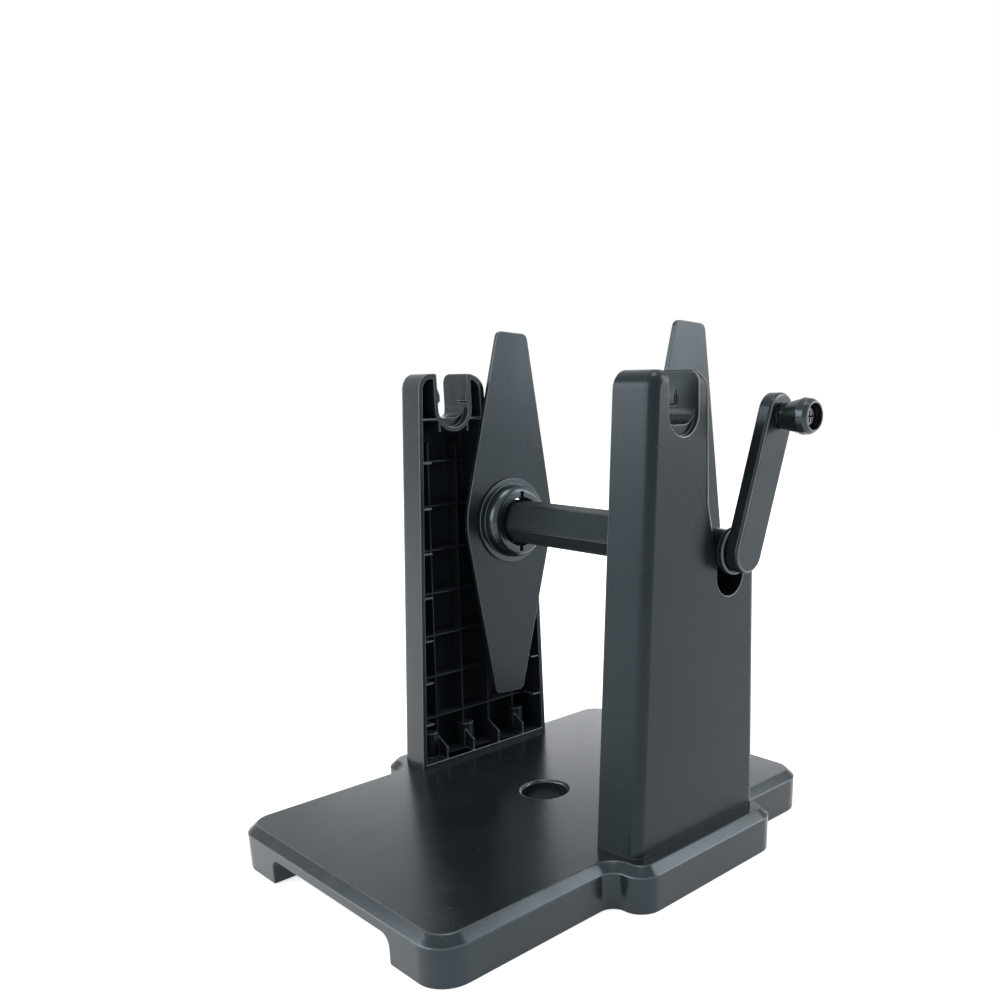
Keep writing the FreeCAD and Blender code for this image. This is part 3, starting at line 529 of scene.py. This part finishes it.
# ---- uprights ------------------------------------------------------------------------------------
class REWINDER_OT_uprights(bpy.types.Operator):
    """Finish the two ribbed uprights"""
    bl_idname = "rewinder.uprights"
    bl_label = "Uprights"

    def execute(self, context):
        skin = moulded_plastic("upright_moulding", colours().moulding, rough=0.28, spread=0.05,
                               waviness=0.08, gloss=1.34)
        # The uprights' rounded edges get a painted highlight: a lighter colour than the skin
        edge = painted_edge_highlight("upright_edges", rough=0.28, brighter=0.75)
        hollow = moulded_plastic("upright_hollow", colours().moulding, rough=0.75, spread=0.04,
                                 waviness=0.04, gloss=1.30)
        # The slots' outer lips get a stronger painted highlight
        lip = painted_edge_highlight("slot_lips", rough=0.25, brighter=1.9)
        for node in UPRIGHTS:
            piece = softened_copy(node, sizes().rib_softness, shaped=shape_upright)
            give_materials(piece, skin, edge, hollow, lip)
            sort_edges(piece, node)
        return {"FINISHED"}


def upright_sides(node):
    """Box of an upright, the X of its open side, and the direction of its outer face."""
    low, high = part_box(node)
    outward = Vector((1 if node == "upright_right" else -1, 0, 0))
    return low, high, low.x if outward.x > 0 else high.x, outward


def shape_upright(mesh, node):
    """Part an upright's hollow side from its outside, and draft its walls."""
    low, high, open_x, outward = upright_sides(node)
    mesh.normal_update()
    tree = BVHTree.FromBMesh(mesh)
    for face in mesh.faces:
        centre = face.calc_center_median()
        depth = abs(centre.x - open_x) / (high.x - low.x)
        rim = face.normal.dot(outward) < LOOKS_IN and depth < RIM_DEPTH
        covered = tree.ray_cast(centre + face.normal * RAY_START, outward)[0] is not None
        if covered and not rim:
            face.material_index = HOLLOW
    draft_walls(mesh, node)


def draft_walls(mesh, node):
    """Slant the front and rear walls of an upright, which narrow towards its outer face."""
    low, high, open_x, outward = upright_sides(node)
    for corner in mesh.verts:
        y, z = corner.co.y, corner.co.z
        depth = (corner.co.x - open_x) * outward.x / (high.x - low.x)
        height = (z - low.z) / (high.z - low.z)
        front_edge = low.y + FRONT_LEAN * (z - low.z)
        corner.co.y += sizes().front_draft * depth * share(y, FRONT_WALL_END, front_edge)
        if z > SHELF_HEIGHT:
            rear = share(y, *UPPER_REAR_WALL) * share(z, SHELF_HEIGHT, SHELF_HEIGHT + SHELF_BLEND)
        else:
            rear = share(y, *LOWER_REAR_WALL)
        corner.co.y += sizes().rear_draft * (1 - depth) * height * rear


def sort_edges(piece, node):
    """Let the edges deep in the hollow go with it, without the painted highlight, and give the
    slots' outer lips a stronger painted highlight of their own.
    """
    low, high, open_x, outward = upright_sides(node)
    tree = BVHTree.FromPolygons([corner.co for corner in piece.data.vertices],
                                [face.vertices for face in piece.data.polygons])
    for face in piece.data.polygons:
        depth = abs(face.center.x - open_x) / (high.x - low.x)
        if face.material_index != EDGE or depth < HIGHLIGHT_DEPTH:
            continue
        covered = tree.ray_cast(face.center + face.normal * RAY_START, outward)[0] is not None
        if covered:
            face.material_index = HOLLOW
        elif depth > LIP_DEPTH:
            face.material_index = LIP


# ---- flanges -------------------------------------------------------------------------------------
class REWINDER_OT_flanges(bpy.types.Operator):
    """Finish the flange plates and their core hubs"""
    bl_idname = "rewinder.flanges"
    bl_label = "Flanges and hubs"

    def execute(self, context):
        skin = moulded_plastic("flange_moulding", colours().moulding, rough=0.27, spread=0.04,
                               waviness=0.05)
        # Rounded edges of the plates and hubs get a painted highlight: a lighter colour than the
        # skin
        edge = painted_edge_highlight("flange_edges", rough=0.30, brighter=0.6)
        for node in FLANGE_PLATES:
            give_materials(softened_copy(node, sizes().edge_softness), skin, edge)
        hub = moulded_plastic("hub_moulding", colours().bar, rough=0.25, spread=0.04,
                              waviness=0.04, gloss=1.62)
        for node in CORE_HUBS:
            give_materials(softened_copy(node, sizes().rib_softness, shaped=round_hub), hub, edge)
        return {"FINISHED"}


def round_hub(mesh, node):
    """Give a hub's outer edge a fuller curve, further back than it goes in."""
    low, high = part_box(node)
    centre = (low + high) / 2
    face_x = high.x if centre.x < 0 else low.x
    size = sizes()
    flat_radius = size.hub_radius - size.hub_edge
    for corner in mesh.verts:
        spoke = Vector((0, corner.co.y - centre.y, corner.co.z - centre.z))
        back = corner.co.x - face_x
        reach = math.hypot(spoke.length - flat_radius, size.hub_edge - abs(back))
        inside = spoke.length < flat_radius - HUB_FACE_SLACK
        if inside or abs(reach - size.hub_edge) > HUB_ARC_SLACK:
            continue
        inwards = (size.hub_radius - spoke.length) * size.hub_round_in
        place = spoke.normalized() * (size.hub_radius - inwards)
        corner.co = (face_x + back * size.hub_round_back, centre.y + place.y, centre.z + place.z)


# ---- spindle -------------------------------------------------------------------------------------
class REWINDER_OT_spindle(bpy.types.Operator):
    """Finish the hexagonal sleeve, its bushes, collar, rod and pin"""
    bl_idname = "rewinder.spindle"
    bl_label = "Spindle"

    def execute(self, context):
        skin = moulded_plastic("bar_moulding", colours().bar, rough=0.30, spread=0.05,
                               waviness=0.08)
        # Rounded edges of the bushes and collar get a painted highlight: a lighter colour than the
        # skin
        edge = painted_edge_highlight("bar_edges", rough=0.28, brighter=0.6)
        sleeve = moulded_plastic("sleeve_moulding", colours().sleeve, rough=0.60, spread=0.06,
                                 waviness=0.08, gloss=1.24)
        # The sleeve's rounded edges get the painted highlight turned down almost to the sleeve's own
        # colour
        give_materials(stepped_sleeve(), sleeve,
                       painted_edge_highlight("sleeve_edges", rough=0.4, brighter=0.12))
        for node in BUSHES:
            give_materials(softened_copy(node, sizes().rib_softness), skin, edge)
        steel = drawn_steel("drawn_steel", colours().steel, rough=0.28)
        for node in STEEL_NODES:
            give_materials(frame["nodes"][node], steel)
        return {"FINISHED"}


def stepped_sleeve():
    """Sleeve with three wide proud faces and three narrow ones between them."""
    low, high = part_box("hex_sleeve")
    centre = (low + high) / 2
    mesh = bmesh.new()
    ring = []
    for face in range(3):
        turn = sizes().sleeve_turn + math.tau * face / 3
        outward = Vector((0, -math.cos(turn), math.sin(turn)))
        along = Vector((0, math.sin(turn), math.cos(turn)))
        for distance, offset in sleeve_section():
            place = centre + outward * distance + along * offset
            ring.append(mesh.verts.new((low.x, place.y, place.z)))
    front = mesh.faces.new(ring)
    made = bmesh.ops.extrude_face_region(mesh, geom=[front])
    far_end = [item for item in made["geom"] if isinstance(item, bmesh.types.BMVert)]
    bmesh.ops.translate(mesh, verts=far_end, vec=(high.x - low.x, 0, 0))
    bmesh.ops.recalc_face_normals(mesh, faces=mesh.faces)
    round_off(mesh, sharp_edges(mesh, SLEEVE_SHARP), SLEEVE_ROUNDING)
    smooth_faces(mesh)
    piece = new_piece("sleeve_finish", mesh_data("sleeve_finish", mesh))
    even_shading(piece)
    stand_in_for(piece, "hex_sleeve")
    return piece


def sleeve_section():
    """A third of the sleeve's outline, as distance from the axis and offset along the face."""
    size = sizes()
    wide = size.sleeve_wide
    under = wide - size.sleeve_step
    corner = (2 * size.sleeve_narrow - under) / math.sqrt(3)
    foot = corner - PAD_SHOULDER
    top = foot - PAD_SLANT
    return ((under, -corner), (under, -foot), (wide, -top), (wide, top), (under, foot),
            (under, corner))


# ---- crank ---------------------------------------------------------------------------------------
class REWINDER_OT_crank(bpy.types.Operator):
    """Finish the crank arm and turn its knob"""
    bl_idname = "rewinder.crank"
    bl_label = "Crank and knob"

    def execute(self, context):
        skin = moulded_plastic("crank_moulding", colours().moulding, rough=0.28, spread=0.05,
                               waviness=0.05)
        # The arm's rounded edges, a strip along its outer edge and the knob's rim get a painted
        # highlight
        edge = painted_edge_highlight("crank_edges", rough=0.28)
        arm = softened_copy("crank_arm", sizes().edge_softness)
        give_materials(arm, skin, edge)
        highlight_outer_edge(arm)
        gloss = moulded_plastic("knob_moulding", colours().bar, rough=0.20, spread=0.04,
                                waviness=0.04, gloss=1.55)
        give_materials(turned_knob(), gloss, edge)
        black = drawn_steel("blackened_screw", colours().black_steel, rough=0.3)
        give_materials(frame["nodes"]["knob_screw"], black)
        return {"FINISHED"}


def highlight_outer_edge(arm):
    """Give the painted edge highlight to a strip of the arm's rounded edge, picked by the way its
    faces look.
    """
    low, high = ARM_EDGE_LOOK
    for face in arm.data.polygons:
        if low < face.normal.x < high:
            face.material_index = EDGE


def turned_knob():
    """Knob with a slim neck, a rounded crest and a deep recess in its end."""
    low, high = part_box("knob_grip")
    size = sizes()
    crest = (high.z - low.z) / 2
    length = high.x - low.x
    recess = high.x - length * KNOB_RECESS_DEPTH
    profile = [(low.x, KNOB_BORE), (low.x, size.knob_neck),
               (low.x + length * KNOB_WAIST_AT, size.knob_waist),
               (low.x + length * KNOB_CREST_AT, crest),
               (low.x + length * KNOB_SHOULDER_AT, crest * KNOB_SHOULDER),
               (high.x, size.knob_rim), (high.x, size.knob_recess),
               (recess, size.knob_recess - KNOB_RECESS_DRAFT), (recess, KNOB_BORE)]
    piece = turned_piece("knob_finish", profile, (low + high) / 2, KNOB_ROUNDING)
    # The rim at the knob's end gets the painted edge highlight
    for face in piece.data.polygons:
        near_end = face.center.x > high.x - length * KNOB_RIM_DEPTH
        if face.normal.x > KNOB_RIM_LOOK and near_end:
            face.material_index = EDGE
    stand_in_for(piece, "knob_grip")
    return piece


# ---- fittings ------------------------------------------------------------------------------------
class REWINDER_OT_fittings(bpy.types.Operator):
    """Finish the screws, the non-slip pads and the grip rings"""
    bl_idname = "rewinder.fittings"
    bl_label = "Screws and pads"

    def execute(self, context):
        zinc = drawn_steel("zinc_screw", scaled(colours().steel, 0.6), rough=0.35)
        for node in ZINC_SCREWS:
            give_materials(frame["nodes"][node], zinc)
        rubber = soft_rubber("soft_rubber", colours().rubber)
        for node in RUBBER_NODES:
            give_materials(frame["nodes"][node], rubber)
        return {"FINISHED"}


# ---- studio --------------------------------------------------------------------------------------
class REWINDER_OT_stage(bpy.types.Operator):
    """Set up the pale floor, the soft lamps, the surroundings and the camera"""
    bl_idname = "rewinder.stage"
    bl_label = "Studio"

    def execute(self, context):
        stage = context.scene.rewinder_stage
        make_floor(stage.floor_size)
        make_surroundings(stage.world_strength)
        for name, place, sides, power in LAMPS:
            area_lamp(name, place, sides, getattr(stage, power))
        make_camera(stage)
        context.scene.view_settings.view_transform = "Standard"
        return {"FINISHED"}


def make_floor(side):
    """Pale floor that reads as white to the camera and keeps the shadow."""
    mesh = bmesh.new()
    bmesh.ops.create_grid(mesh, x_segments=8, y_segments=8, size=side / 2)
    floor = new_piece("studio_floor", mesh_data("studio_floor", mesh))
    material, tree, shader = new_material("pale_floor")
    mottle = object_noise(tree, scale=3.0)
    tree.links.new(colour_between(tree, mottle, *FLOOR_TONES), shader.inputs["Base Color"])
    shader.inputs["Roughness"].default_value = 0.9
    shader.inputs["Emission Color"].default_value = WHITE
    lift = tree.nodes.new("ShaderNodeMath")
    lift.operation = "MULTIPLY"
    lift.inputs[1].default_value = FLOOR_GLOW
    tree.links.new(seen_share(tree), lift.inputs[0])
    tree.links.new(lift.outputs["Value"], shader.inputs["Emission Strength"])
    give_materials(floor, material)


def seen_share(tree):
    """1 for rays from the camera, in reflections and through clear material, 0 for light."""
    rays = tree.nodes.new("ShaderNodeLightPath")
    total = rays.outputs["Is Camera Ray"]
    for name in ("Is Glossy Ray", "Is Transmission Ray"):
        larger = tree.nodes.new("ShaderNodeMath")
        larger.operation = "MAXIMUM"
        tree.links.new(total, larger.inputs[0])
        tree.links.new(rays.outputs[name], larger.inputs[1])
        total = larger.outputs["Value"]
    return total


def make_surroundings(strength):
    """White to the camera and in reflections, softer as a light."""
    world = bpy.data.worlds.new("pale_surroundings")
    world.use_nodes = True
    bpy.context.scene.world = world
    tree = world.node_tree
    tree.nodes.clear()
    output = tree.nodes.new("ShaderNodeOutputWorld")
    light = tree.nodes.new("ShaderNodeBackground")
    shown = tree.nodes.new("ShaderNodeBackground")
    light.inputs["Color"].default_value = SKY_COLOUR
    light.inputs["Strength"].default_value = strength
    shown.inputs["Color"].default_value = WHITE
    shown.inputs["Strength"].default_value = 1.0
    mix = tree.nodes.new("ShaderNodeMixShader")
    tree.links.new(seen_share(tree), mix.inputs["Fac"])
    tree.links.new(light.outputs["Background"], mix.inputs[1])
    tree.links.new(shown.outputs["Background"], mix.inputs[2])
    tree.links.new(mix.outputs["Shader"], output.inputs["Surface"])


def area_lamp(name, place, sides, power):
    """Rectangular soft lamp that looks at the middle of the rewinder."""
    data = bpy.data.lights.new(name, "AREA")
    data.shape = "RECTANGLE"
    data.size, data.size_y = sides
    data.energy = power
    lamp = new_piece(name, data)
    view = Vector(LAMP_TARGET) - Vector(place)
    lamp.location = place
    lamp.rotation_euler = view.to_track_quat("-Z", "Y").to_euler()


def make_camera(stage):
    """Camera at its place, turned to its heading, dipped and rolled."""
    data = bpy.data.cameras.new("studio_camera")
    data.sensor_width = 36.0
    data.lens = stage.lens
    data.shift_x, data.shift_y = stage.shift
    camera = new_piece("studio_camera", data)
    facing = Euler((math.pi / 2 - stage.camera_dip, 0.0, stage.camera_heading)).to_matrix()
    roll = Matrix.Rotation(stage.camera_roll, 3, "Z")
    camera.matrix_world = Matrix.Translation(stage.camera_place) @ (facing @ roll).to_4x4()
    bpy.context.scene.camera = camera


# ---- panel and registration ----------------------------------------------------------------------
PIECES = (REWINDER_OT_base, REWINDER_OT_uprights, REWINDER_OT_flanges, REWINDER_OT_spindle,
          REWINDER_OT_crank, REWINDER_OT_fittings, REWINDER_OT_stage)
GROUPS = {"rewinder_sizes": RewinderSizes, "rewinder_colours": RewinderColours,
          "rewinder_stage": RewinderStage}


class REWINDER_PT_panel(bpy.types.Panel):
    """Buttons for every piece, with the sizes, colours and studio settings"""
    bl_label = "Rewinder"
    bl_space_type = "VIEW_3D"
    bl_region_type = "UI"
    bl_category = "Rewinder"

    def draw(self, context):
        for operator in PIECES:
            self.layout.operator(operator.bl_idname)
        for group in GROUPS:
            settings = getattr(context.scene, group)
            box = self.layout.box()
            for name in settings.__annotations__:
                box.prop(settings, name)


CLASSES = (*GROUPS.values(), *PIECES, REWINDER_PT_panel)


def register():
    for item in CLASSES:
        bpy.utils.register_class(item)
    for name, group in GROUPS.items():
        setattr(bpy.types.Scene, name, PointerProperty(type=group))


def unregister():
    for name in GROUPS:
        delattr(bpy.types.Scene, name)
    for item in reversed(CLASSES):
        bpy.utils.unregister_class(item)


def main():
    register()
    bpy.ops.rewinder.base()
    bpy.ops.rewinder.uprights()
    bpy.ops.rewinder.flanges()
    bpy.ops.rewinder.spindle()
    bpy.ops.rewinder.crank()
    bpy.ops.rewinder.fittings()
    bpy.ops.rewinder.stage()


if __name__ == "__main__":
    main()
